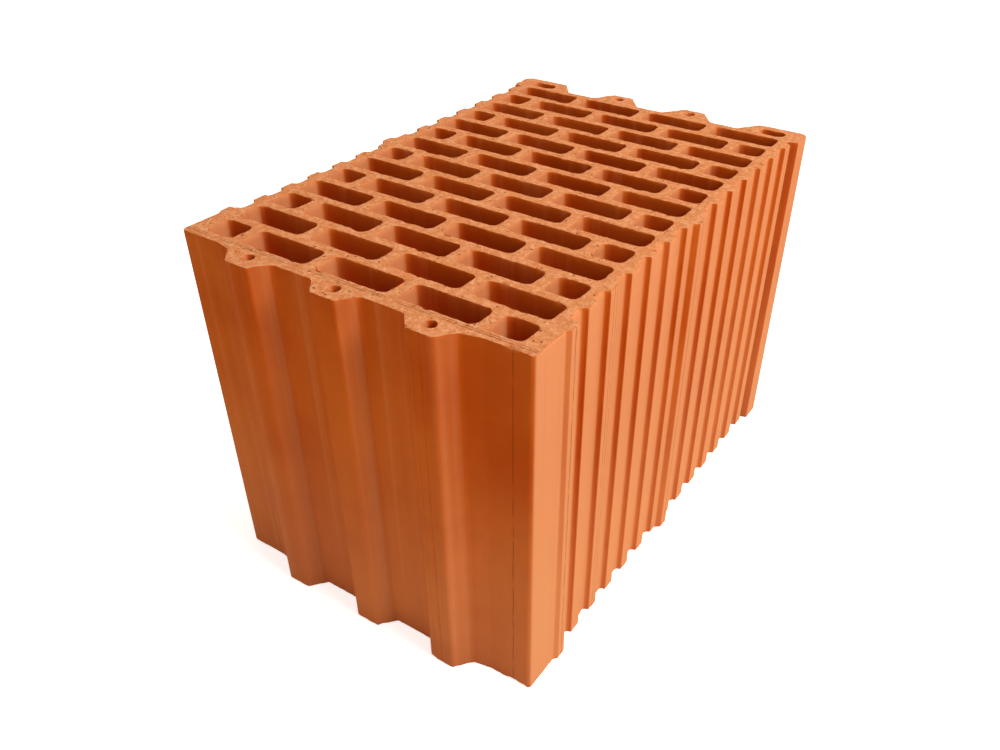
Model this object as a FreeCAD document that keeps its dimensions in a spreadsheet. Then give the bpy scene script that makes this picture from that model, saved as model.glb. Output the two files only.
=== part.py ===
import FreeCAD, Part
import math
import os

import Sketcher

# Hollow clay block with a tongue-and-groove head joint, extruded and fired in one piece.
# X runs through the wall, Y along the wall and Z up, along the extrusion and all the cells.
# The origin is at the centre of the overall box, on the underside.
# The tongues stand on the -Y end, and the grooves that take the next block's tongues are on +Y.

# Driving dimensions in millimetres.
SIZES = {
    # overall size
    "width": 250.0,
    "length": 373.0,
    "height": 249.0,
    # tongues, on a base that stands a little proud of the two corner lands
    "key_pitch": 63.5,
    "base_step": 2.5,
    "base_fade": 12.0,
    "tongue_nose": 17.0,
    "tongue_rise": 11.0,
    "tongue_run": 9.0,
    # grooves that take the tongues of the next block
    "groove_mouth": 46.5,
    "groove_depth": 17.0,
    "groove_run": 12.6,
    # plaster keys on the two long faces: wide ribs with narrow flutes between them
    "rib_pitch": 23.3,
    "back_rib_pitch": 24.1,
    "back_rib": 10.3,
    "rib_drop": 4.0,
    "flute_depth": 3.6,
    "flute_mouth": 13.4,
    "flute_floor": 11.8,
    "shoulder": 5.0,
    # plain lands at the four corners, and the two raised beads; the back lands stand at full width
    "land_drop": 2.2,
    "front_land": 27.75,
    "back_land": 28.0,
    "back_slope": 6.0,
    "bead_front": 8.5,
    "bead_middle": 8.0,
    "bead_slope": 3.0,
    "bead_place": 184.25,
    # cells, in rows that are shifted by half a cell from one to the next
    "side_wall": 6.8,
    "front_wall": 7.75,
    "back_wall": 6.75,
    "cell_web": 8.0,
    "row_web": 7.1,
    "cell_bevel": 2.3,
    # two oblong holes in the corner lands of the grooved end
    "slot_width": 10.0,
    "slot_inset": 4.85,
    "slot_web": 6.1,
    "slot_bevel": 2.9,
    # small round holes, one in each tongue and one in each land between two grooves
    "tongue_hole": 7.5,
    "tongue_hole_depth": 10.0,
    "land_hole": 7.0,
    "land_hole_depth": 8.5,
    # rounded edges
    "rib_round": 1.0,
    "flute_round": 3.0,
    "bead_round": 2.2,
    "key_edge_round": 2.5,
    "key_root_round": 4.0,
    "front_corner_round": 3.0,
    "back_corner_round": 7.0,
}

# Tongues, and grooves for them. Whole cells in the fuller of two rows, and pairs of rows.
KEYS = 3
CELLS_ACROSS = 4
ROW_PAIRS = 7

doc = FreeCAD.newDocument("hollow_clay_block")
sheet = doc.addObject("Spreadsheet::Sheet", "Sizes")
for row, (alias, value) in enumerate(SIZES.items(), start=1):
    sheet.set(f"A{row}", alias)
    sheet.set(f"B{row}", str(value))
    sheet.setAlias(f"B{row}", alias)
doc.recompute()


def size(alias):
    """A driving dimension as a number."""
    return float(sheet.get(alias))


# Places that several features share, as expressions on the sheet.
REACH = "(Sizes.base_step + Sizes.tongue_rise)"
FRONT = f"(-(Sizes.length - {REACH}) / 2)"
BACK = f"((Sizes.length + {REACH}) / 2)"
FACE_X = "(Sizes.width / 2)"
LAND_X = "(Sizes.width / 2 - Sizes.land_drop)"
RIB_X = "(Sizes.width / 2 - Sizes.rib_drop)"
FLOOR_X = f"({RIB_X} - Sizes.flute_depth)"
OUTSIDE_X = "(Sizes.width / 2 + 1)"

# Raised beads, and the outer flute of each group. One group starts behind the front bead, the other
# a rib away from the back land, and both run towards the bead near the middle.
STEP_FOOT = f"({FRONT} + Sizes.front_land)"
STEP_TOP = f"({STEP_FOOT} + Sizes.bead_slope)"
FRONT_BEAD_END = f"({STEP_TOP} + Sizes.bead_front)"
BEAD_MIDDLE = f"({FRONT} + Sizes.bead_place)"
BEAD_HALF = "(Sizes.bead_middle / 2)"
BACK_LAND_FOOT = f"({BACK} - Sizes.back_land)"
LIP = "Sizes.rib_round"
FIRST_FLUTE = f"({FRONT_BEAD_END} + {LIP} + Sizes.flute_mouth / 2)"
LAST_FLUTE = f"({BACK_LAND_FOOT} - Sizes.back_rib - Sizes.flute_mouth / 2)"
CLEAR = f"({BEAD_HALF} + Sizes.bead_slope + Sizes.shoulder + Sizes.flute_mouth / 2)"
FRONT_FLUTES = f"1 + floor(({BEAD_MIDDLE} - {CLEAR} - {FIRST_FLUTE}) / Sizes.rib_pitch)"
BACK_FLUTES = f"1 + floor(({LAST_FLUTE} - {BEAD_MIDDLE} - {CLEAR}) / Sizes.back_rib_pitch)"

# The cells take up what the walls and webs leave.
GRID_X = f"({FLOOR_X} - Sizes.side_wall)"
GRID_FRONT = f"({FRONT} + Sizes.front_wall)"
GRID_BACK = f"({BACK} - Sizes.groove_depth - Sizes.back_wall)"
ROWS = 2 * ROW_PAIRS
CELL = f"((2 * {GRID_X} - {CELLS_ACROSS - 1} * Sizes.cell_web) / {CELLS_ACROSS})"
HALF_CELL = f"(({CELL} - Sizes.cell_web) / 2)"
CELL_PITCH = f"({CELL} + Sizes.cell_web)"
DEPTH = f"(({GRID_BACK} - {GRID_FRONT} - {ROWS - 1} * Sizes.row_web) / {ROWS})"
ROW_PITCH = f"({DEPTH} + Sizes.row_web)"

LAST_KEY = f"({(KEYS - 1) / 2} * Sizes.key_pitch)"
FIRST_KEY = f"(-{LAST_KEY})"
TONGUE_END = f"({LAST_KEY} + Sizes.tongue_nose / 2 + Sizes.tongue_run)"
GROOVE_END = f"({LAST_KEY} + Sizes.groove_mouth / 2)"

body = doc.addObject("PartDesign::Body", "Body")
body.Label = "clay_block"
origin = {item.Role: item for item in body.Origin.OriginFeatures}


def new_sketch(name):
    """An empty sketch on the underside, seen from above."""
    sketch = body.newObject("Sketcher::SketchObject", name)
    sketch.AttachmentSupport = [(origin["XY_Plane"], "")]
    sketch.MapMode = "FlatFace"
    return sketch


def value(expression):
    """What an expression on the sheet comes to, in millimetres."""
    return float(sheet.evalExpression(expression))


def bind(sketch, constraint, expression):
    """Add a dimension to a sketch and tie it to the sheet."""
    index = sketch.addConstraint(constraint)
    sketch.setExpression(f"Constraints[{index}]", expression)


def place(sketch, geometry, point, x, y):
    """Tie one point of a sketch to a pair of expressions."""
    bind(sketch, Sketcher.Constraint("DistanceX", -1, 1, geometry, point, value(x)), x)
    bind(sketch, Sketcher.Constraint("DistanceY", -1, 1, geometry, point, value(y)), y)


def add_polygon(sketch, corners, rounds=None):
    """A closed outline whose corners are pairs of expressions.

    The dictionary of rounds gives a radius, also an expression, to some of the corners.
    """
    rounds = rounds or {}
    count = len(corners)
    points = [FreeCAD.Vector(value(x), value(y), 0) for x, y in corners]
    arrive = list(points)
    leave = list(points)
    arcs = {}
    for index, radius in rounds.items():
        corner = points[index]
        back = (points[index - 1] - corner).normalize()
        onward = (points[(index + 1) % count] - corner).normalize()
        half_angle = back.getAngle(onward) / 2
        arrive[index] = corner + back * (value(radius) / math.tan(half_angle))
        leave[index] = corner + onward * (value(radius) / math.tan(half_angle))
        centre = corner + (back + onward).normalize() * (value(radius) / math.sin(half_angle))
        turns_left = (-back).cross(onward).z > 0
        first, last = (arrive[index], leave[index]) if turns_left else (leave[index], arrive[index])
        begin = math.atan2(first.y - centre.y, first.x - centre.x)
        finish = math.atan2(last.y - centre.y, last.x - centre.x)
        circle = Part.Circle(centre, FreeCAD.Vector(0, 0, 1), value(radius))
        arc = sketch.addGeometry(Part.ArcOfCircle(circle, begin, finish))
        arcs[index] = (arc, 1 if turns_left else 2)
    lines = []
    for index in range(count):
        segment = Part.LineSegment(leave[index], arrive[(index + 1) % count])
        lines.append(sketch.addGeometry(segment))
    for index, (x, y) in enumerate(corners):
        before = lines[index - 1]
        after = lines[index]
        if index not in arcs:
            sketch.addConstraint(Sketcher.Constraint("Coincident", before, 2, after, 1))
            place(sketch, after, 1, x, y)
            continue
        arc, arc_start = arcs[index]
        sketch.addConstraint(Sketcher.Constraint("Tangent", before, 2, arc, arc_start))
        sketch.addConstraint(Sketcher.Constraint("Tangent", arc, 3 - arc_start, after, 1))
        bind(sketch, Sketcher.Constraint("Radius", arc, value(rounds[index])), rounds[index])
        apex = sketch.addGeometry(Part.Point(points[index]), True)
        sketch.addConstraint(Sketcher.Constraint("PointOnObject", apex, 1, before))
        sketch.addConstraint(Sketcher.Constraint("PointOnObject", apex, 1, after))
        place(sketch, apex, 1, x, y)


def add_cell(sketch, left, right, front, depth, bevel):
    """A rectangle with bevelled corners, placed by its two ends and its front side."""
    rear = f"({front} + {depth})"
    corners = [
        (f"({left} + {bevel})", front),
        (f"({right} - {bevel})", front),
        (right, f"({front} + {bevel})"),
        (right, f"({rear} - {bevel})"),
        (f"({right} - {bevel})", rear),
        (f"({left} + {bevel})", rear),
        (left, f"({rear} - {bevel})"),
        (left, f"({front} + {bevel})"),
    ]
    add_polygon(sketch, corners)


def add_circle(sketch, x, y, diameter):
    """A round hole's outline, placed by its centre."""
    centre = FreeCAD.Vector(value(x), value(y), 0)
    circle = Part.Circle(centre, FreeCAD.Vector(0, 0, 1), value(diameter) / 2)
    geometry = sketch.addGeometry(circle)
    bind(sketch, Sketcher.Constraint("Diameter", geometry, value(diameter)), diameter)
    place(sketch, geometry, 3, x, y)


def pad(sketch, name):
    """Raise an outline to the full height of the block."""
    feature = body.newObject("PartDesign::Pad", name)
    feature.Profile = sketch
    feature.setExpression("Length", "Sizes.height")
    sketch.Visibility = False
    return feature


def pocket(sketch, name):
    """Cut an outline through the full height of the block, upwards from the underside."""
    feature = body.newObject("PartDesign::Pocket", name)
    feature.Profile = sketch
    feature.Reversed = True
    feature.setExpression("Length", "Sizes.height")
    sketch.Visibility = False
    return feature


def repeat(feature, name, axis, spacing, count):
    """Repeat a feature along one axis."""
    pattern = body.newObject("PartDesign::LinearPattern", name)
    pattern.Originals = [feature]
    pattern.Direction = (origin[axis], [""])
    pattern.Mode = "Spacing"
    pattern.setExpression("Offset", spacing)
    pattern.setExpression("Occurrences", str(count))
    body.Tip = pattern
    return pattern


def mirrored(corners):
    """The same outline on the other side of the YZ plane."""
    return [(f"(-{x})", y) for x, y in corners]


def add_outline():
    """The outer section without its repeated keys and flutes."""
    right = [
        (TONGUE_END, f"({FRONT} - Sizes.base_step)"),
        (f"({TONGUE_END} + Sizes.base_fade)", FRONT),
        (LAND_X, FRONT),
        (LAND_X, STEP_FOOT),
        (FACE_X, STEP_TOP),
        (FACE_X, FRONT_BEAD_END),
        (RIB_X, FRONT_BEAD_END),
        (RIB_X, f"({BEAD_MIDDLE} - {BEAD_HALF} - Sizes.bead_slope)"),
        (FACE_X, f"({BEAD_MIDDLE} - {BEAD_HALF})"),
        (FACE_X, f"({BEAD_MIDDLE} + {BEAD_HALF})"),
        (RIB_X, f"({BEAD_MIDDLE} + {BEAD_HALF} + Sizes.bead_slope)"),
        (RIB_X, BACK_LAND_FOOT),
        (FACE_X, f"({BACK_LAND_FOOT} + Sizes.back_slope)"),
        (FACE_X, BACK),
    ]
    sketch = new_sketch("OutlineSketch")
    add_polygon(sketch, right + mirrored(right)[::-1])
    pad(sketch, "Outline")


def add_tongues():
    """Tongues with a flat nose and two sloping flanks."""
    base = f"({FRONT} - Sizes.base_step)"
    nose = f"({base} - Sizes.tongue_rise)"
    half_nose = "(Sizes.tongue_nose / 2)"
    half_base = "(Sizes.tongue_nose / 2 + Sizes.tongue_run)"
    corners = [
        (f"({FIRST_KEY} - {half_base})", FRONT),
        (f"({FIRST_KEY} - {half_base})", base),
        (f"({FIRST_KEY} - {half_nose})", nose),
        (f"({FIRST_KEY} + {half_nose})", nose),
        (f"({FIRST_KEY} + {half_base})", base),
        (f"({FIRST_KEY} + {half_base})", FRONT),
    ]
    sketch = new_sketch("TongueSketch")
    add_polygon(sketch, corners)
    repeat(pad(sketch, "Tongue"), "Tongues", "X_Axis", "Sizes.key_pitch", KEYS)


def cut_grooves():
    """Grooves in the other end, wider and deeper than the tongues that they take."""
    floor = f"({BACK} - Sizes.groove_depth)"
    half_mouth = "(Sizes.groove_mouth / 2)"
    half_floor = "(Sizes.groove_mouth / 2 - Sizes.groove_run)"
    corners = [
        (f"({FIRST_KEY} - {half_mouth})", f"({BACK} + 1)"),
        (f"({FIRST_KEY} - {half_mouth})", BACK),
        (f"({FIRST_KEY} - {half_floor})", floor),
        (f"({FIRST_KEY} + {half_floor})", floor),
        (f"({FIRST_KEY} + {half_mouth})", BACK),
        (f"({FIRST_KEY} + {half_mouth})", f"({BACK} + 1)"),
    ]
    sketch = new_sketch("GrooveSketch")
    add_polygon(sketch, corners)
    repeat(pocket(sketch, "Groove"), "Grooves", "X_Axis", "Sizes.key_pitch", KEYS)


def cut_flutes(name, first, pitch, count, backwards):
    """One group of scooped flutes on both long faces, counted from its outer end.

    Each flute takes its two round arrises off the ribs beside it.
    """
    half_mouth = "(Sizes.flute_mouth / 2)"
    half_floor = "(Sizes.flute_floor / 2)"
    right = [
        (OUTSIDE_X, f"({first} - {half_mouth} - {LIP})"),
        (RIB_X, f"({first} - {half_mouth} - {LIP})"),
        (RIB_X, f"({first} - {half_mouth})"),
        (FLOOR_X, f"({first} - {half_floor})"),
        (FLOOR_X, f"({first} + {half_floor})"),
        (RIB_X, f"({first} + {half_mouth})"),
        (RIB_X, f"({first} + {half_mouth} + {LIP})"),
        (OUTSIDE_X, f"({first} + {half_mouth} + {LIP})"),
    ]
    rounds = {
        2: "Sizes.rib_round",
        3: "Sizes.flute_round",
        4: "Sizes.flute_round",
        5: "Sizes.rib_round",
    }
    sketch = new_sketch(f"{name}FluteSketch")
    add_polygon(sketch, right, rounds)
    add_polygon(sketch, mirrored(right), rounds)
    pattern = repeat(pocket(sketch, f"{name}Flute"), f"{name}Flutes", "Y_Axis", pitch, count)
    pattern.Reversed = backwards


def cut_cells():
    """Two rows of cells, the second shifted by half a cell, repeated along the block.

    The first row has a half cell at both ends to make up its length.
    """
    row_front = GRID_FRONT
    row_left = f"(-{GRID_X} + {HALF_CELL} + Sizes.cell_web)"
    sketch = new_sketch("CellSketch")
    ends = [(f"(-{GRID_X})", f"(-{GRID_X} + {HALF_CELL})"), (f"({GRID_X} - {HALF_CELL})", GRID_X)]
    for left, right in ends:
        add_cell(sketch, left, right, row_front, DEPTH, "Sizes.cell_bevel")
    for count in (CELLS_ACROSS - 1, CELLS_ACROSS):
        for column in range(count):
            left = f"({row_left} + {column} * {CELL_PITCH})"
            right = f"({left} + {CELL})"
            add_cell(sketch, left, right, row_front, DEPTH, "Sizes.cell_bevel")
        row_front = f"({row_front} + {ROW_PITCH})"
        row_left = f"(-{GRID_X})"
    pair = pocket(sketch, "PairOfRows")
    pair.Refine = False
    rows = repeat(pair, "Rows", "Y_Axis", f"2 * {ROW_PITCH}", ROW_PAIRS)
    rows.Refine = False


def cut_small_holes():
    """Two oblong holes and the small round ones, which thin out the clay round the end joints."""
    slot_front = f"({GRID_BACK} + Sizes.slot_web)"
    slot_start = f"({GROOVE_END} + Sizes.slot_inset)"
    slots = new_sketch("SlotSketch")
    for left, right in ((f"(-{GRID_X})", f"(-{slot_start})"), (slot_start, GRID_X)):
        add_cell(slots, left, right, slot_front, "Sizes.slot_width", "Sizes.slot_bevel")
    pocket(slots, "Slots")

    tongue_hole_y = f"({FRONT} - {REACH} + Sizes.tongue_hole_depth)"
    tongue_hole = new_sketch("TongueHoleSketch")
    add_circle(tongue_hole, FIRST_KEY, tongue_hole_y, "Sizes.tongue_hole")
    repeat(pocket(tongue_hole, "TongueHole"), "TongueHoles", "X_Axis", "Sizes.key_pitch", KEYS)

    land_hole = new_sketch("LandHoleSketch")
    land_hole_x = f"({FIRST_KEY} + Sizes.key_pitch / 2)"
    add_circle(land_hole, land_hole_x, f"({BACK} - Sizes.land_hole_depth)", "Sizes.land_hole")
    repeat(pocket(land_hole, "LandHole"), "LandHoles", "X_Axis", "Sizes.key_pitch", KEYS - 1)


def round_edges(name, radius, chosen):
    """Round the upright edges whose place passes the test."""
    doc.recompute()
    base = body.Tip
    names = []
    for index, edge in enumerate(base.Shape.Edges, start=1):
        ends = [vertex.Point for vertex in edge.Vertexes]
        if len(ends) != 2 or not isinstance(edge.Curve, Part.Line):
            continue
        run = ends[1] - ends[0]
        if abs(run.x) + abs(run.y) < 1e-6 and chosen(ends[0].x, ends[0].y):
            names.append(f"Edge{index}")
    feature = body.newObject("PartDesign::Fillet", name)
    feature.Base = (base, names)
    feature.setExpression("Radius", f"Sizes.{radius}")
    body.Tip = feature


def round_all_edges():
    """Roots, noses, beads and corners, each kind with its own radius."""
    near = 0.01
    front = value(FRONT)
    back = value(BACK)
    base = front - size("base_step")
    nose = base - size("tongue_rise")
    groove_floor = back - size("groove_depth")
    land_x = value(LAND_X)
    face_x = value(FACE_X)
    rib_x = value(RIB_X)
    front_bead_end = value(FRONT_BEAD_END)
    tongue_end = value(TONGUE_END)
    groove_end = value(GROOVE_END)

    def is_nose_or_tip(x, y):
        on_nose = abs(y - nose) < near
        on_tip = abs(y - back) < near and abs(x) < groove_end + near
        return on_nose or on_tip

    def is_root(x, y):
        on_base = abs(y - base) < near and abs(x) < tongue_end + near
        on_floor = abs(y - groove_floor) < near and abs(x) < groove_end
        return on_base or on_floor

    def is_bead(x, y):
        fluted = abs(y - front_bead_end) < near and abs(x) < rib_x + near
        return abs(x) > rib_x - near and front + near < y < back - near and not fluted

    def is_front_corner(x, y):
        return abs(abs(x) - land_x) < near and abs(y - front) < near

    def is_back_corner(x, y):
        return abs(abs(x) - face_x) < near and abs(y - back) < near

    round_edges("KeyEdgeRounds", "key_edge_round", is_nose_or_tip)
    round_edges("KeyRootRounds", "key_root_round", is_root)
    round_edges("BeadRounds", "bead_round", is_bead)
    round_edges("FrontCornerRounds", "front_corner_round", is_front_corner)
    round_edges("BackCornerRounds", "back_corner_round", is_back_corner)


add_outline()
add_tongues()
cut_grooves()
round_all_edges()
cut_flutes("Front", FIRST_FLUTE, "Sizes.rib_pitch", FRONT_FLUTES, False)
cut_flutes("Back", LAST_FLUTE, "Sizes.back_rib_pitch", BACK_FLUTES, True)
doc.recompute()
gross_volume = body.Shape.Volume
cut_small_holes()
cut_cells()
doc.recompute()

for item in doc.Objects:
    if {"Invalid", "Error"} & set(item.State):
        raise RuntimeError(f"{item.Name} did not build: {item.State}")
block = body.Shape
if block.isNull() or not block.isValid() or len(block.Solids) != 1:
    raise RuntimeError("the block is not one valid solid")

# Every hole has to open in the top face: cells and half cells, two slots, and the small round holes.
holes = ROW_PAIRS * (2 * CELLS_ACROSS + 1) + 2 + 2 * KEYS - 1
top_faces = [face for face in block.Faces if face.BoundBox.ZMin > size("height") - 1]
open_holes = sum(len(face.Wires) - 1 for face in top_faces)
if open_holes != holes:
    raise RuntimeError(f"{open_holes} holes are open at the top, not {holes}")

os.makedirs("parts", exist_ok=True)
block.exportStep(os.path.join("parts", f"{body.Label}.step"))
box = block.BoundBox
print(f"box {box.XLength:.2f} x {box.YLength:.2f} x {box.ZLength:.2f} mm, faces {len(block.Faces)}")
print(f"clay {block.Volume / 1e6:.3f} litres of {gross_volume / 1e6:.3f} litres gross, {open_holes} holes")
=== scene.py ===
"""Looks of the hollow clay block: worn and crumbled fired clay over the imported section."""

import math
from itertools import combinations

import bpy
import numpy as np
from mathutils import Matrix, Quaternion, Vector, noise
from mathutils.geometry import delaunay_2d_cdt


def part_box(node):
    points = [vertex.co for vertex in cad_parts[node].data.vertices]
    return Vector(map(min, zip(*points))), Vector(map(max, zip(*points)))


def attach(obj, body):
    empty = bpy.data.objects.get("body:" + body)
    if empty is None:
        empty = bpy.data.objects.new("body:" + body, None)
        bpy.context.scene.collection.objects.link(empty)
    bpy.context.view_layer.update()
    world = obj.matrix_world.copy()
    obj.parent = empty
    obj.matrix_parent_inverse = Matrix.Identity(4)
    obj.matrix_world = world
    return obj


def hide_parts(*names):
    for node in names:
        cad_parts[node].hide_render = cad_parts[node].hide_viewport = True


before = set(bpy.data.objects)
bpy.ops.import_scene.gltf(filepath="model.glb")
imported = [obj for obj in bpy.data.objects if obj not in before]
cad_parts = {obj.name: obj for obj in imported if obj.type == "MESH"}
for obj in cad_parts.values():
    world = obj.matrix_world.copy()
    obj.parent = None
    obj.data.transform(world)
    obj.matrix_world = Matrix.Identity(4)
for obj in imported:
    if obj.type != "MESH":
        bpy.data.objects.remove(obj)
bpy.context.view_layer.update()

MM = 0.001
LOW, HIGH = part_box("clay_block")
TOP = HIGH[2]
HEIGHT = HIGH[2] - LOW[2]
SAME_PLACE = 0.1 * MM

# The photograph's camera.
IMAGE_WIDTH = 1000
IMAGE_HEIGHT = 750
FOCAL_PX = 900.3
OPTICAL_CENTRE_PX = (540.0, 425.1)
CAMERA_PLACE = (0.3131, -0.4791, 0.4755)
CAMERA_AZIMUTH = 31.96
CAMERA_ELEVATION = 36.89
CAMERA_ROLL = 1.22
SENSOR_WIDTH = 36.0
NEAREST_VIEW = 0.01

# Fineness of the mesh. Jitter and clearance are shares of the spacing, and the depths are in mm.
OUTSIDE_SPACING = 1.6 * MM
CELL_SPACING = 1.75 * MM
CAP_SPACING = 2.0 * MM
CAP_JITTER = 0.28
CAP_CLEARANCE = 0.62
CORNER_SOFTENING = 1.5 * MM
SOFTENING_STEPS = 3
FEWEST_POINTS = 8
OUTSIDE_DEPTHS = (0, 0.5, 1.3, 2.6, 5, 10, 20, 45, 90)
CELL_DEPTHS = (0, 0.5, 1.4, 4, 15)
SHARP_ANGLE = 38

# Ragged wear along the arrises.
ARRIS_WEAR = 0.1 * MM
ARRIS_RAGGED = 1.0 * MM
ARRIS_DEPTH = 1.3 * MM
RAGGED_COARSE = 2.9 * MM
RAGGED_FINE = 1.3 * MM
RAGGED_STRENGTH = 0.35

# Chips off the arrises, and the knock that the right face has had near its front.
CHIP_DEPTH = 2.6 * MM
CHIP_OUTSIDE = 1.1 * MM
CHIP_INSIDE = 0.6 * MM
CHIP_LEAST = 0.3
CHIP_COARSE = 15 * MM
CHIP_FINE = 5 * MM
CHIP_FINE_STRENGTH = 0.45
CHIP_LIMITS = (0.36, 0.7)
KNOCK = (HIGH[0], LOW[1] + 78 * MM)
KNOCK_REACH = 34 * MM
KNOCK_STRENGTH = 0.45

# Waves and drag lines of the drawn skin. Both are drawn out along Z, and the squeeze says how far.
SKIN_WAVES = 0.12 * MM
WAVE_SIZE = 26 * MM
WAVE_SQUEEZE = 0.25
DRAG_LINES = 0.07 * MM
DRAG_SIZE = 1.9 * MM
DRAG_SQUEEZE = 0.02

# The torn wire-cut faces. The two drops at an edge are in mm.
CUT_DEPTH = 0.05 * MM
CUT_ROUGHNESS = 0.3 * MM
CUT_SIZE = 2.6 * MM
PIT_DEPTH = 0.5 * MM
PIT_SIZE = 3.6 * MM
PIT_LIMITS = (0.4, 0.7)
EDGE_REACH = 2.5 * MM
EDGE_DROP = 0.08
EDGE_CHIP_DROP = 0.9

# Loose grains: how many, the ranges that their size and shape are drawn from, and their depth.
CRUMBS = 300
CRUMB_SIZES = (0.25, 0.62)
CRUMB_SKEW = 1.4
CRUMB_SCALE = 1.1
CRUMB_BLUNTNESS = (0.65, 1.0)
CRUMB_FLATNESS = (0.6, 1.0)
CRUMB_COVER = 0.02 * MM

# Seeds of the random numbers and of each noise. The steps lead on to the finer noise of the same face.
CAP_SEED = 7
CRUMB_SEED = 8
TOP_EDGE_SEED = 1
BOTTOM_EDGE_SEED = 2
FINE_EDGE_STEP = 20
CHIP_SEED = 3
CHIP_FINE_SEED = 9
WAVE_SEED = 4
DRAG_SEED = 5
TOP_CUT_SEED = 6
BOTTOM_CUT_SEED = 8
PIT_STEP = 1
SEED_SHIFT = (17.3, 5.1, 9.7)

# The narrow steep-walled flute between the last rib and each back corner land, in mm: how far ahead of
# the back end, and how deep below the full-width face.
CORNER_FLUTE = (
    (28.9, 4.0),
    (28.3, 4.3),
    (27.9, 5.0),
    (27.5, 6.4),
    (26.7, 7.3),
    (25.7, 7.6),
    (24.7, 7.2),
    (24.0, 6.2),
    (22.9, 1.4),
    (22.5, 0.4),
    (21.6, 0.0),
)

# Fine lines scored by the die and the wire: across which axis, where, how wide, how strong, and the
# axis, place and reach of the face that carries them.
TONGUE_END = LOW[1]
FRONT_LAND = LOW[1] + 13.5 * MM
RIB_FACE = HIGH[0] - 4 * MM
SCORES = (
    ("X", HIGH[0] - 14.7 * MM, 0.4 * MM, 1.0, "Y", FRONT_LAND, 1.5 * MM),
    ("X", 63.9 * MM, 0.35 * MM, 0.6, "Y", TONGUE_END, 0.9 * MM),
    ("X", 58.5 * MM, 0.3 * MM, 0.4, "Y", TONGUE_END, 0.9 * MM),
    ("Y", FRONT_LAND + 34.2 * MM, 0.6 * MM, 0.9, "X", HIGH[0], 1.2 * MM),
    ("Y", FRONT_LAND + 184.2 * MM, 0.6 * MM, 0.6, "X", HIGH[0], 1.2 * MM),
    ("Y", FRONT_LAND + 81.3 * MM, 0.4 * MM, 0.8, "X", RIB_FACE, 1.2 * MM),
    ("Y", FRONT_LAND + 84.2 * MM, 0.4 * MM, 0.7, "X", RIB_FACE, 1.2 * MM),
    ("Y", FRONT_LAND + 3.6 * MM, 0.4 * MM, 0.7, "Z", HIGH[2], 1.0 * MM),
    ("Y", FRONT_LAND + 5.2 * MM, 0.4 * MM, 0.45, "Z", HIGH[2], 1.0 * MM),
)
SCORE_WANDER = 1.1 * MM

# Textures of the clay, in lumps per metre, and how far the streaks are drawn out along Z.
CLOUDS = 9
STREAKS = 420
STREAK_SQUEEZE = (1, 1, 0.006)
BROAD_STREAKS = 120
BROAD_SQUEEZE = (1, 1, 0.01)
SAND = 850
LUMPS = 300
PITS = 330
PIT_PATCHES = 140
SKIN_GRAIN = 1500
SCORE_BENDS = 45
SCORE_BREAKS = 110
CRUMB_MOTTLE = 700

# The most that each effect covers of the colour below it.
# Painted light: the skin on faces that point along X is made paler, as where the side lamps fall on it.
SIDES_PAINTED_LIGHT = 0.8
BROAD_STREAKS_PALE = 0.2
STREAKS_DEEP = 0.3
# Painted light: the skin grows paler towards the foot, like light bounced from the floor.
FOOT_BOUNCE_LIGHT = 0.26
LUMPS_PALE = 0.7
SAND_DARK = 0.65
SAND_PALE = 0.6
SCORES_DARK = 0.55

# How far the painted light bounced from the floor reaches up, the depths of the bump, and the gloss.
BOUNCE_LIGHT_TOP = LOW[2] + 0.8 * HEIGHT
STREAK_BUMP = 0.2 * MM
SCORE_BUMP = 0.3 * MM
GRAIN_BUMP = 0.1 * MM
TORN_BUMP = 1.1 * MM
LUMP_HEIGHT = 1.2
CLAY_ROUGHNESS = 0.92
CRUMB_ROUGHNESS = 0.95
SPECULAR_LEVEL = 0.06

# The surroundings.
WHITE = (1, 1, 1, 1)
FLOOR_REACH = 6.0
FLOOR_COLOUR = (0.86, 0.86, 0.86, 1)
FLOOR_GLOW = 0.72
WORLD_COLOUR = (1.0, 0.9, 0.78, 1)
WORLD_STRENGTH = 0.24

# Lamps: azimuth and elevation in degrees, distance and size in metres, power in watts, and colour.
LAMPS = {
    "key": (85, 38, 1.9, 0.7, 18.8, (1, 1, 1)),
    "overhead": (125, 72, 1.7, 1.0, 19, (1, 1, 1)),
    "front_fill": (-10, 6, 1.7, 1.4, 5.4, (1.0, 0.92, 0.82)),
    "left_fill": (-110, 14, 2.0, 1.6, 7, (1.0, 0.95, 0.88)),
}


def soft_step(low, high, value):
    """0 below low, 1 above high and smooth between them."""
    share = min(max((value - low) / (high - low), 0.0), 1.0)
    return share * share * (3 - 2 * share)


def grain(point, size, seed):
    """Smooth noise from -1 to 1 whose lumps have about this size."""
    return noise.noise(Vector(point) / size + Vector([seed * shift for shift in SEED_SHIFT]))


def grain_share(point, size, seed):
    """The same noise from 0 to 1."""
    return 0.5 + 0.5 * grain(point, size, seed)


def section_loops(node):
    """The outline and the holes of the top face, as loops of (x, y) points."""
    mesh = node.data
    key = [tuple(round(c, 6) for c in node.matrix_world @ v.co) for v in mesh.vertices]
    edges = {}
    for polygon in mesh.polygons:
        corners = [key[i] for i in polygon.vertices]
        if min(corner[2] for corner in corners) < TOP - SAME_PLACE:
            continue
        for start, end in zip(corners, corners[1:] + corners[:1]):
            if (end, start) in edges:
                del edges[(end, start)]
            else:
                edges[(start, end)] = True
    following = {start: end for start, end in edges}
    loops = []
    while following:
        start, point = following.popitem()
        loop = [start]
        while point != start:
            loop.append(point)
            point = following.pop(point)
        loops.append(np.array([p[:2] for p in loop]))
    return sorted(loops, key=lambda loop: -np.ptp(loop[:, 1]))


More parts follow.
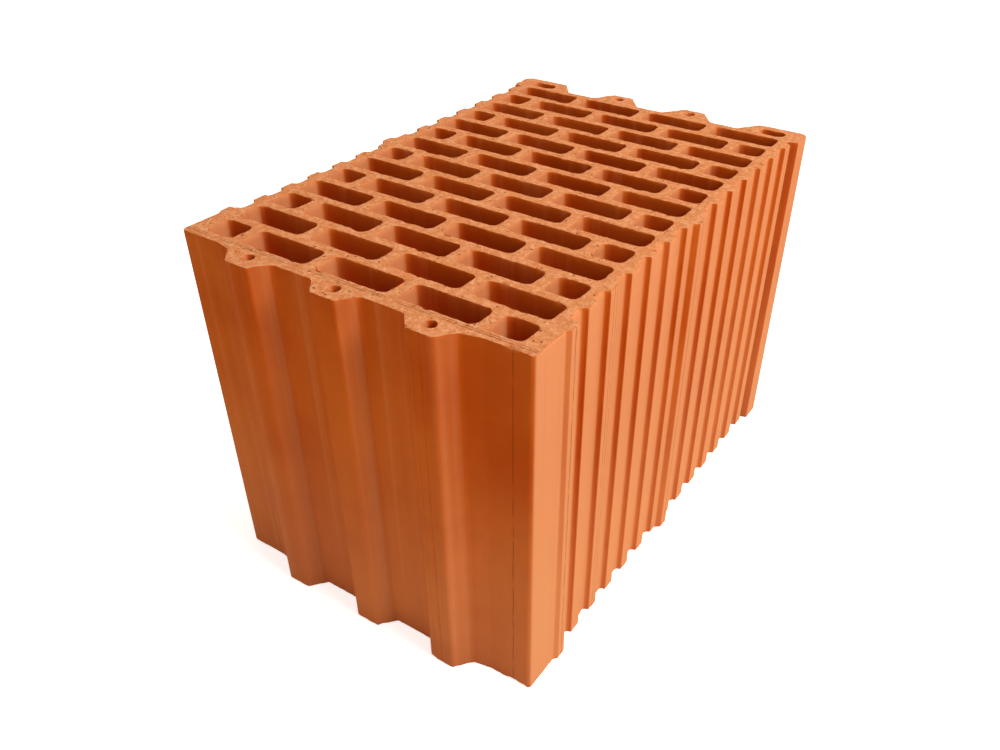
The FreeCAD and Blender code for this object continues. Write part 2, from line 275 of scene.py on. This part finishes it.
def cut_corner_flutes(loop):
    """The outline with its corner flutes, which lie where the solid has a plain slope."""
    first = CORNER_FLUTE[0][0] * MM
    last = CORNER_FLUTE[-1][0] * MM
    points = []
    sides_done = set()
    for x, y in loop:
        side = 1 if x > 0 else -1
        if abs(x) < RIB_FACE - SAME_PLACE or not last <= HIGH[1] - y <= first:
            points.append((x, y))
        elif side not in sides_done:
            sides_done.add(side)
            profile = [(side * (HIGH[0] - deep * MM), HIGH[1] - ahead * MM) for ahead, deep in CORNER_FLUTE]
            points += profile[::side]
    return np.array(points)


def subdivide(loop, spacing):
    """A closed loop with all its corners, and more points between them at about this distance."""
    points = []
    for start, end in zip(loop, np.roll(loop, -1, axis=0)):
        count = max(1, round(np.linalg.norm(end - start) / spacing))
        points += [start + (end - start) * i / count for i in range(count)]
    return np.array(points)


def resample(loop, spacing):
    """Points at an even distance along a closed loop."""
    closed = np.vstack([loop, loop[:1]])
    lengths = np.linalg.norm(np.diff(closed, axis=0), axis=1)
    along = np.concatenate([[0], np.cumsum(lengths)])
    count = max(FEWEST_POINTS, round(along[-1] / spacing))
    places = np.arange(count) * along[-1] / count
    return np.column_stack([np.interp(places, along, closed[:, axis]) for axis in (0, 1)])


def soften(loop, reach):
    """Round a loop's corners off over this reach."""
    fine = resample(loop, reach / SOFTENING_STEPS)
    shifts = range(-SOFTENING_STEPS, SOFTENING_STEPS + 1)
    return sum(np.roll(fine, shift, axis=0) for shift in shifts) / len(shifts)


def side_normals(loop):
    """Unit vectors that point away from the clay, which lies to the left of the loop."""
    tangent = np.roll(loop, -1, axis=0) - np.roll(loop, 1, axis=0)
    tangent /= np.linalg.norm(tangent, axis=1)[:, None]
    return np.column_stack([tangent[:, 1], -tangent[:, 0]])


def find_in_clay(places, loops):
    """For each place, whether it lies in the clay, and how far it is from the loops' nearest point."""
    level_edge = 1e-12
    chunks = 100
    inside = []
    distance = []
    starts = np.vstack(loops)
    ends = np.vstack([np.roll(loop, -1, axis=0) for loop in loops])
    rise = np.where(ends[:, 1] == starts[:, 1], level_edge, ends[:, 1] - starts[:, 1])
    for chunk in np.array_split(places, chunks):
        x = chunk[:, :1]
        y = chunk[:, 1:]
        crosses = (starts[:, 1] > y) != (ends[:, 1] > y)
        meet = starts[:, 0] + (y - starts[:, 1]) / rise * (ends[:, 0] - starts[:, 0])
        inside.append((crosses & (meet > x)).sum(axis=1) % 2 == 1)
        distance.append(np.hypot(starts[:, 0] - x, starts[:, 1] - y).min(axis=1))
    return np.concatenate(inside), np.concatenate(distance)


def interior_points(loops):
    """Jittered points between the loops, clear of all of them, with their distance from them."""
    generator = np.random.default_rng(CAP_SEED)
    xs = np.arange(LOW[0], HIGH[0], CAP_SPACING)
    ys = np.arange(LOW[1], HIGH[1], CAP_SPACING * math.sqrt(3) / 2)
    grid = np.array([(x + (row % 2) * CAP_SPACING / 2, y) for row, y in enumerate(ys) for x in xs])
    grid += generator.uniform(-CAP_JITTER, CAP_JITTER, grid.shape) * CAP_SPACING
    inside, distance = find_in_clay(grid, loops)
    kept = inside & (distance > CAP_CLEARANCE * CAP_SPACING)
    return grid[kept], distance[kept]


def cap_triangles(loops, inner):
    """Triangles that face up between the loops, as numbers into the loops' points and the inner ones."""
    fill_hull = 0
    same_point = 1e-7
    flat = np.vstack(loops + [inner])
    edges = []
    start = 0
    for loop in loops:
        count = len(loop)
        edges += [(start + i, start + (i + 1) % count) for i in range(count)]
        start += count
    result = delaunay_2d_cdt([Vector(point) for point in flat], edges, [], fill_hull, same_point, True)
    origin = [members[0] for members in result[3]]
    triangles = np.array([[origin[i] for i in face] for face in result[2]])
    in_clay, _ = find_in_clay(flat[triangles].mean(axis=1), loops)
    triangles = triangles[in_clay]
    first, second, third = (flat[triangles[:, corner]] for corner in range(3))
    ahead = second - first
    aside = third - first
    faces_down = ahead[:, 0] * aside[:, 1] < ahead[:, 1] * aside[:, 0]
    triangles[faces_down] = triangles[faces_down][:, ::-1]
    return triangles


def chip(x, y):
    """How much of an arris has broken away here: 0 for none, 1 for a large chip."""
    patch = grain((x, y, 0), CHIP_COARSE, CHIP_SEED)
    patch += CHIP_FINE_STRENGTH * grain((x, y, 0), CHIP_FINE, CHIP_FINE_SEED)
    distance = math.hypot(x - KNOCK[0], y - KNOCK[1])
    knocked = KNOCK_STRENGTH * (1 - soft_step(0, KNOCK_REACH, distance))
    return soft_step(*CHIP_LIMITS, patch + knocked)


def wall_point(x, y, normal, depth, is_outside, from_top):
    """A point of an upright wall after wear, at this depth below the top or above the bottom."""
    z = TOP - depth if from_top else LOW[2] + depth
    seed = TOP_EDGE_SEED if from_top else BOTTOM_EDGE_SEED
    ragged = 0.5 + RAGGED_STRENGTH * grain((x, y, z), RAGGED_COARSE, seed)
    ragged += RAGGED_STRENGTH * grain((x, y, z), RAGGED_FINE, seed + FINE_EDGE_STEP)
    ragged = min(max(ragged, 0.0), 1.0)
    nearness = 1 - soft_step(0, ARRIS_DEPTH, depth)
    reach = CHIP_OUTSIDE if is_outside else CHIP_INSIDE
    broken = chip(x, y) * (1 - soft_step(0, CHIP_DEPTH, depth)) * reach
    retreat = nearness * (ARRIS_WEAR + ARRIS_RAGGED * ragged ** 2) + broken * (CHIP_LEAST + ragged)
    wave = grain_share((x, y, z * WAVE_SQUEEZE), WAVE_SIZE, WAVE_SEED)
    line = grain_share((x, y, z * DRAG_SQUEEZE), DRAG_SIZE, DRAG_SEED)
    retreat += SKIN_WAVES * wave + DRAG_LINES * line
    return (x - normal[0] * retreat, y - normal[1] * retreat, z)


def cap_drop(x, y, edge_distance, seed):
    """How far a wire-cut face has been torn below its plane."""
    rough = grain_share((x, y, 0), CUT_SIZE, seed)
    pit = soft_step(*PIT_LIMITS, grain((x, y, 0), PIT_SIZE, seed + PIT_STEP)) * PIT_DEPTH
    edge = 1 - soft_step(0, EDGE_REACH, edge_distance)
    torn_edge = edge * (EDGE_DROP + EDGE_CHIP_DROP * chip(x, y)) * MM
    return CUT_DEPTH + CUT_ROUGHNESS * rough + pit + torn_edge


def add_wall(loop, is_outside, points, faces):
    """Add the upright wall of a loop, and say which points are its top and its bottom rim."""
    normals = side_normals(loop)
    depths = [depth * MM for depth in (OUTSIDE_DEPTHS if is_outside else CELL_DEPTHS)]
    rings = [(depth, True) for depth in depths] + [(depth, False) for depth in reversed(depths)]
    first = len(points)
    count = len(loop)
    for depth, from_top in rings:
        for (x, y), normal in zip(loop, normals):
            points.append(wall_point(x, y, normal, depth, is_outside, from_top))
    for ring in range(len(rings) - 1):
        upper = first + ring * count
        lower = upper + count
        for column in range(count):
            after = (column + 1) % count
            faces.append((lower + column, lower + after, upper + after, upper + column))
    return range(first, first + count), range(len(points) - count, len(points))


def add_cap(rim, inner, distances, triangles, from_top, points, faces):
    """Add a torn wire-cut face between its rims, and lower the rims' own points with it."""
    seed = TOP_CUT_SEED if from_top else BOTTOM_CUT_SEED
    index = list(rim)
    for (x, y), distance in zip(inner, distances):
        drop = cap_drop(x, y, distance, seed)
        index.append(len(points))
        points.append((x, y, TOP - drop if from_top else LOW[2] + drop))
    for i in rim:
        x, y, z = points[i]
        drop = cap_drop(x, y, 0, seed)
        points[i] = (x, y, z - drop if from_top else z + drop)
    for triangle in triangles:
        corners = [index[i] for i in triangle]
        faces.append(tuple(corners if from_top else reversed(corners)))


def add_object(name, data):
    """A new object in the scene."""
    thing = bpy.data.objects.new(name, data)
    bpy.context.scene.collection.objects.link(thing)
    return thing


def build_block():
    """The worn block as one closed mesh, and the places of the points inside its wire-cut faces."""
    outline, *holes = section_loops(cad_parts["clay_block"])
    loops = [subdivide(cut_corner_flutes(outline), OUTSIDE_SPACING)]
    loops += [resample(soften(hole, CORNER_SOFTENING), CELL_SPACING) for hole in holes]
    points = []
    faces = []
    top_rim = []
    bottom_rim = []
    for number, loop in enumerate(loops):
        top, bottom = add_wall(loop, number == 0, points, faces)
        top_rim += top
        bottom_rim += bottom
    inner, distances = interior_points(loops)
    triangles = cap_triangles(loops, inner)
    for rim, from_top in ((top_rim, True), (bottom_rim, False)):
        add_cap(rim, inner, distances, triangles, from_top, points, faces)

    mesh = bpy.data.meshes.new("fired_clay")
    mesh.from_pydata(points, [], faces)
    mesh.validate()
    mesh.shade_smooth()
    mesh.set_sharp_from_angle(angle=math.radians(SHARP_ANGLE))
    return add_object("fired_clay_block", mesh), inner


def icosahedron():
    """The corners, at a distance of 1 from the middle, and the triangles of a solid with twenty sides."""
    golden = (1 + math.sqrt(5)) / 2
    corners = []
    for a in (-1, 1):
        for b in (-golden, golden):
            corners += [(0, a, b), (a, b, 0), (b, 0, a)]
    corners = np.array(corners) / math.hypot(1, golden)
    edge = min(np.linalg.norm(corners[0] - corner) for corner in corners[1:])
    longest = edge * 1.05
    sides = []
    for i, j, k in combinations(range(len(corners)), 3):
        first, second, third = corners[[i, j, k]]
        spans = (first - second, second - third, first - third)
        if max(np.linalg.norm(span) for span in spans) < longest:
            faces_out = np.dot(np.cross(second - first, third - first), first) > 0
            sides.append((i, j, k) if faces_out else (i, k, j))
    return corners, sides


def build_crumbs(places):
    """Loose grains of clay in the wire-cut top, all just below its plane."""
    generator = np.random.default_rng(CRUMB_SEED)
    corners, sides = icosahedron()
    points = []
    faces = []
    for x, y in generator.permutation(places)[:CRUMBS]:
        radius = generator.uniform(*CRUMB_SIZES) ** CRUMB_SKEW * MM * CRUMB_SCALE
        shape = corners * generator.uniform(*CRUMB_BLUNTNESS, (len(corners), 1))
        shape = shape * generator.uniform(*CRUMB_FLATNESS, 3) * radius
        z = TOP - radius - CRUMB_COVER
        first = len(points)
        points += [tuple(corner + (x, y, z)) for corner in shape]
        faces += [tuple(first + i for i in side) for side in sides]
    mesh = bpy.data.meshes.new("crumbs")
    mesh.from_pydata(points, [], faces)
    return add_object("clay_crumbs", mesh)


def linear(red, green, blue):
    """A screen colour from 0 to 255 as a colour for a shader."""
    channels = []
    for channel in (red, green, blue):
        share = channel / 255
        channels.append(share / 12.92 if share <= 0.04045 else ((share + 0.055) / 1.055) ** 2.4)
    return (*channels, 1.0)


SKIN_DEEP = linear(188, 76, 12)
SKIN = linear(206, 100, 30)
# The pale skin colour, used for pale streaks and also for the painted light on faces that point along X.
SKIN_PALE_AND_LIT = linear(226, 147, 96)
CUT = linear(220, 134, 80)
CUT_PALE = linear(240, 172, 122)
CUT_DARK = linear(158, 74, 30)
LINE = linear(128, 52, 14)
# The pale colour of the painted light bounced from the floor, at the foot.
BOUNCE_LIGHT_PALE = linear(234, 166, 112)


class Shader:
    """A material's node tree, with short ways to add and join its nodes."""

    def __init__(self, name):
        self.material = bpy.data.materials.new(name)
        self.material.use_nodes = True
        self.tree = self.material.node_tree
        self.tree.nodes.clear()
        self.output = self.add("OutputMaterial")
        self.coordinates = self.add("TexCoord")

    def add(self, kind):
        """A new node of this kind."""
        return self.tree.nodes.new("ShaderNode" + kind)

    def join(self, source, socket):
        """Feed a socket from another socket, or set it to a plain value."""
        if isinstance(source, bpy.types.NodeSocket):
            self.tree.links.new(source, socket)
        else:
            socket.default_value = source

    def math(self, operation, first, second=0.0):
        """The result of one sum."""
        node = self.add("Math")
        node.operation = operation
        self.join(first, node.inputs[0])
        self.join(second, node.inputs[1])
        return node.outputs[0]

    def stretch(self, value, low, high, start=0.0, end=1.0):
        """Map the range from low to high to the one from start to end, smoothly and within its limits."""
        node = self.add("MapRange")
        node.interpolation_type = "SMOOTHSTEP"
        self.join(value, node.inputs["Value"])
        self.join(low, node.inputs["From Min"])
        self.join(high, node.inputs["From Max"])
        self.join(start, node.inputs["To Min"])
        self.join(end, node.inputs["To Max"])
        return node.outputs["Result"]

    def place(self, scale):
        """Object coordinates, scaled on each axis."""
        node = self.add("Mapping")
        self.join(self.coordinates.outputs["Object"], node.inputs["Vector"])
        node.inputs["Scale"].default_value = scale
        return node.outputs["Vector"]

    def noise(self, scale, detail=3.0, roughness=0.55, squeeze=(1, 1, 1)):
        """Noise around 0.5 with this many lumps to the metre."""
        node = self.add("TexNoise")
        self.join(self.place(squeeze), node.inputs["Vector"])
        node.inputs["Scale"].default_value = scale
        node.inputs["Detail"].default_value = detail
        node.inputs["Roughness"].default_value = roughness
        return node.outputs["Fac"]

    def spots(self, scale):
        """Distance from the nearest of many scattered points."""
        node = self.add("TexVoronoi")
        self.join(self.place((1, 1, 1)), node.inputs["Vector"])
        node.inputs["Scale"].default_value = scale
        return node.outputs["Distance"]

    def mix(self, factor, first, second, kind="RGBA"):
        """Blend two colours, or two vectors."""
        node = self.add("Mix")
        node.data_type = kind
        self.join(factor, node.inputs[0])
        ends = [socket for socket in node.inputs if socket.type == kind and socket.name in "AB"]
        self.join(first, ends[0])
        self.join(second, ends[1])
        return [socket for socket in node.outputs if socket.type == kind][0]

    def bump(self, height, distance, strength=1.0, normal=None):
        """A surface normal that follows a height map, on top of another normal where one is given."""
        node = self.add("Bump")
        node.inputs["Strength"].default_value = strength
        node.inputs["Distance"].default_value = distance
        self.join(height, node.inputs["Height"])
        if normal:
            self.join(normal, node.inputs["Normal"])
        return node.outputs["Normal"]

    def part(self, source, axis):
        """The part along one axis of the object's coordinates (Object) or of its normal (Normal)."""
        node = self.add("SeparateXYZ")
        self.join(self.coordinates.outputs[source], node.inputs[0])
        return node.outputs[axis]

    def near(self, axis, place, reach, wobble=None):
        """1 where the object's coordinate is at this place, fading to 0 at the reach."""
        core = 0.3 * reach
        offset = self.math("SUBTRACT", self.part("Object", axis), place)
        if wobble:
            offset = self.math("ADD", offset, wobble)
        return self.stretch(self.math("ABSOLUTE", offset), core, reach, 1.0, 0.0)

    def finish(self, colour, roughness, normal=None):
        """The material, with its surface shader joined up."""
        node = self.add("BsdfPrincipled")
        self.join(colour, node.inputs["Base Color"])
        self.join(roughness, node.inputs["Roughness"])
        node.inputs["Specular IOR Level"].default_value = SPECULAR_LEVEL
        if normal:
            self.join(normal, node.inputs["Normal"])
        self.join(node.outputs[0], self.output.inputs["Surface"])
        return self.material


def scored_lines(shader):
    """All the scored lines as one mask, each a little crooked and broken."""
    bends = shader.math("SUBTRACT", shader.noise(SCORE_BENDS, 3), 0.5)
    wobble = shader.math("MULTIPLY", bends, SCORE_WANDER)
    broken = shader.stretch(shader.noise(SCORE_BREAKS, 2), 0.34, 0.52, 0.25, 1.0)
    lines = 0.0
    for axis, place, width, strength, face_axis, face_place, face_reach in SCORES:
        line = shader.near(axis, place, width, wobble)
        line = shader.math("MULTIPLY", line, shader.near(face_axis, face_place, face_reach))
        line = shader.math("MULTIPLY", line, strength)
        lines = shader.math("MAXIMUM", line, lines)
    return shader.math("MULTIPLY", lines, broken)


def skin_colour(shader, streaks):
    """The drawn skin: cloudy and streaked, with painted light that makes the faces pointing along X paler,
    and painted bounce light from the floor that makes it paler towards the foot.
    """
    clouds = shader.noise(CLOUDS, 5)
    broad_streaks = shader.noise(BROAD_STREAKS, 2, 0.5, BROAD_SQUEEZE)
    # Painted light: faces that point along X are mixed towards the pale colour, as if lit from the side.
    painted_side_light = shader.math("ABSOLUTE", shader.part("Normal", "X"))
    # Painted light bounced from the floor: the skin is paler towards the foot.
    painted_bounce_light = shader.stretch(shader.part("Object", "Z"), LOW[2], BOUNCE_LIGHT_TOP, FOOT_BOUNCE_LIGHT, 0.0)
    skin = shader.mix(shader.stretch(clouds, 0.3, 0.7), SKIN_DEEP, SKIN)
    skin = shader.mix(shader.stretch(painted_side_light, 0.68, 1.0, 0.0, SIDES_PAINTED_LIGHT), skin, SKIN_PALE_AND_LIT)
    skin = shader.mix(shader.stretch(broad_streaks, 0.5, 0.75, 0.0, BROAD_STREAKS_PALE), skin, SKIN_PALE_AND_LIT)
    skin = shader.mix(shader.stretch(streaks, 0.55, 0.8, 0.0, STREAKS_DEEP), skin, SKIN_DEEP)
    return shader.mix(painted_bounce_light, skin, BOUNCE_LIGHT_PALE)


def cut_colour(shader, sand, lumps, pits):
    """The torn face: pale lumps, dark and pale sand, and dark pits."""
    cut = shader.mix(shader.stretch(lumps, 0.4, 0.7, 0.0, LUMPS_PALE), CUT, CUT_PALE)
    cut = shader.mix(shader.stretch(sand, 0.55, 0.68, 0.0, SAND_DARK), cut, CUT_DARK)
    cut = shader.mix(shader.stretch(sand, 0.34, 0.46, SAND_PALE, 0.0), cut, CUT_PALE)
    return shader.mix(pits, cut, CUT_DARK)


def clay_material():
    """Fired clay: smooth drawn skin on the upright faces, torn and sandy on the wire-cut ones."""
    shader = Shader("fired_clay")
    streaks = shader.noise(STREAKS, 3, 0.6, STREAK_SQUEEZE)
    sand = shader.noise(SAND, 4, 0.75)
    lumps = shader.noise(LUMPS, 3, 0.6)
    pits = shader.stretch(shader.spots(PITS), 0.12, 0.3, 1.0, 0.0)
    pits = shader.math("MULTIPLY", pits, shader.stretch(shader.noise(PIT_PATCHES), 0.52, 0.64))
    lines = scored_lines(shader)
    level = shader.math("ABSOLUTE", shader.part("Normal", "Z"))
    is_cut = shader.stretch(level, 0.35, 0.75)

    colour = shader.mix(is_cut, skin_colour(shader, streaks), cut_colour(shader, sand, lumps, pits))
    colour = shader.mix(shader.math("MULTIPLY", lines, SCORES_DARK), colour, LINE)

    drawn = shader.bump(streaks, STREAK_BUMP, 0.6)
    drawn = shader.bump(shader.math("SUBTRACT", 1.0, lines), SCORE_BUMP, 0.8, drawn)
    drawn = shader.bump(shader.noise(SKIN_GRAIN, 3, 0.6), GRAIN_BUMP, 0.6, drawn)
    torn_height = shader.math("ADD", sand, shader.math("MULTIPLY", lumps, LUMP_HEIGHT))
    torn_height = shader.math("SUBTRACT", torn_height, pits)
    torn_height = shader.math("SUBTRACT", torn_height, lines)
    torn = shader.bump(torn_height, TORN_BUMP)
    return shader.finish(colour, CLAY_ROUGHNESS, shader.mix(is_cut, drawn, torn, "VECTOR"))


def crumb_material():
    """Pale broken clay."""
    shader = Shader("crumbled_clay")
    mottle = shader.noise(CRUMB_MOTTLE, 2)
    return shader.finish(shader.mix(mottle, CUT, CUT_PALE), CRUMB_ROUGHNESS)


def background_rays(tree):
    """1 for rays that look at the background, straight or in a mirror or glass, and 0 for its light."""
    path = tree.nodes.new("ShaderNodeLightPath")
    rays = path.outputs["Is Camera Ray"]
    for kind in ("Is Glossy Ray", "Is Transmission Ray"):
        node = tree.nodes.new("ShaderNodeMath")
        node.operation = "MAXIMUM"
        tree.links.new(rays, node.inputs[0])
        tree.links.new(path.outputs[kind], node.inputs[1])
        rays = node.outputs[0]
    return rays


def floor_material():
    """A pale floor that reads as white where it is looked at, and keeps the shadow."""
    shader = Shader("pale_floor")
    diffuse = shader.add("BsdfDiffuse")
    diffuse.inputs["Color"].default_value = FLOOR_COLOUR
    glow = shader.add("Emission")
    glow.inputs["Color"].default_value = WHITE
    strength = shader.math("MULTIPLY", background_rays(shader.tree), FLOOR_GLOW)
    shader.join(strength, glow.inputs["Strength"])
    both = shader.add("AddShader")
    shader.join(diffuse.outputs[0], both.inputs[0])
    shader.join(glow.outputs[0], both.inputs[1])
    shader.join(both.outputs[0], shader.output.inputs["Surface"])
    return shader.material


def add_floor():
    """A wide plain floor under the block."""
    signs = ((-1, -1), (1, -1), (1, 1), (-1, 1))
    mesh = bpy.data.meshes.new("floor")
    mesh.from_pydata([(a * FLOOR_REACH, b * FLOOR_REACH, 0) for a, b in signs], [], [(0, 1, 2, 3)])
    mesh.materials.append(floor_material())
    floor = add_object("floor", mesh)
    floor.location.z = LOW[2]


def add_world():
    """Even, slightly warm light from surroundings that are pure white where they are looked at."""
    world = bpy.data.worlds.new("studio")
    bpy.context.scene.world = world
    world.use_nodes = True
    tree = world.node_tree
    tree.nodes.clear()
    output = tree.nodes.new("ShaderNodeOutputWorld")
    mix = tree.nodes.new("ShaderNodeMixShader")
    tree.links.new(background_rays(tree), mix.inputs[0])
    for socket, colour, strength in ((1, WORLD_COLOUR, WORLD_STRENGTH), (2, WHITE, 1.0)):
        background = tree.nodes.new("ShaderNodeBackground")
        background.inputs["Color"].default_value = colour
        background.inputs["Strength"].default_value = strength
        tree.links.new(background.outputs[0], mix.inputs[socket])
    tree.links.new(mix.outputs[0], output.inputs[0])


def direction(azimuth, elevation):
    """The unit vector from the block towards a viewer at these angles, in degrees."""
    a = math.radians(azimuth)
    e = math.radians(elevation)
    return Vector((math.sin(a) * math.cos(e), -math.cos(a) * math.cos(e), math.sin(e)))


def add_lamp(name, azimuth, elevation, distance, size, power, colour):
    """A square soft lamp that looks at the block's middle."""
    data = bpy.data.lights.new(name, "AREA")
    data.shape = "SQUARE"
    data.size = size
    data.energy = power
    data.color = colour
    back = direction(azimuth, elevation)
    lamp = add_object(name, data)
    lamp.location = back * distance + Vector((0, 0, HEIGHT / 2))
    lamp.rotation_mode = "QUATERNION"
    lamp.rotation_quaternion = (-back).to_track_quat("-Z", "Y")


def add_camera():
    """The camera that took the photograph."""
    data = bpy.data.cameras.new("camera")
    data.sensor_width = SENSOR_WIDTH
    data.lens = FOCAL_PX / IMAGE_WIDTH * SENSOR_WIDTH
    data.shift_x = (IMAGE_WIDTH / 2 - OPTICAL_CENTRE_PX[0]) / IMAGE_WIDTH
    data.shift_y = (OPTICAL_CENTRE_PX[1] - IMAGE_HEIGHT / 2) / IMAGE_WIDTH
    data.clip_start = NEAREST_VIEW
    back = direction(CAMERA_AZIMUTH, CAMERA_ELEVATION)
    roll = Quaternion((0, 0, 1), math.radians(CAMERA_ROLL))
    camera = add_object("camera", data)
    camera.location = CAMERA_PLACE
    camera.rotation_mode = "QUATERNION"
    camera.rotation_quaternion = (-back).to_track_quat("-Z", "Y") @ roll
    bpy.context.scene.camera = camera


block, cap_places = build_block()
block.data.materials.append(clay_material())
crumbs = build_crumbs(cap_places)
crumbs.data.materials.append(crumb_material())
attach(block, "root")
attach(crumbs, "root")
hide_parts("clay_block")

add_floor()
add_world()
for lamp_name, settings in LAMPS.items():
    add_lamp(lamp_name, *settings)
add_camera()
bpy.context.scene.view_settings.view_transform = "Standard"
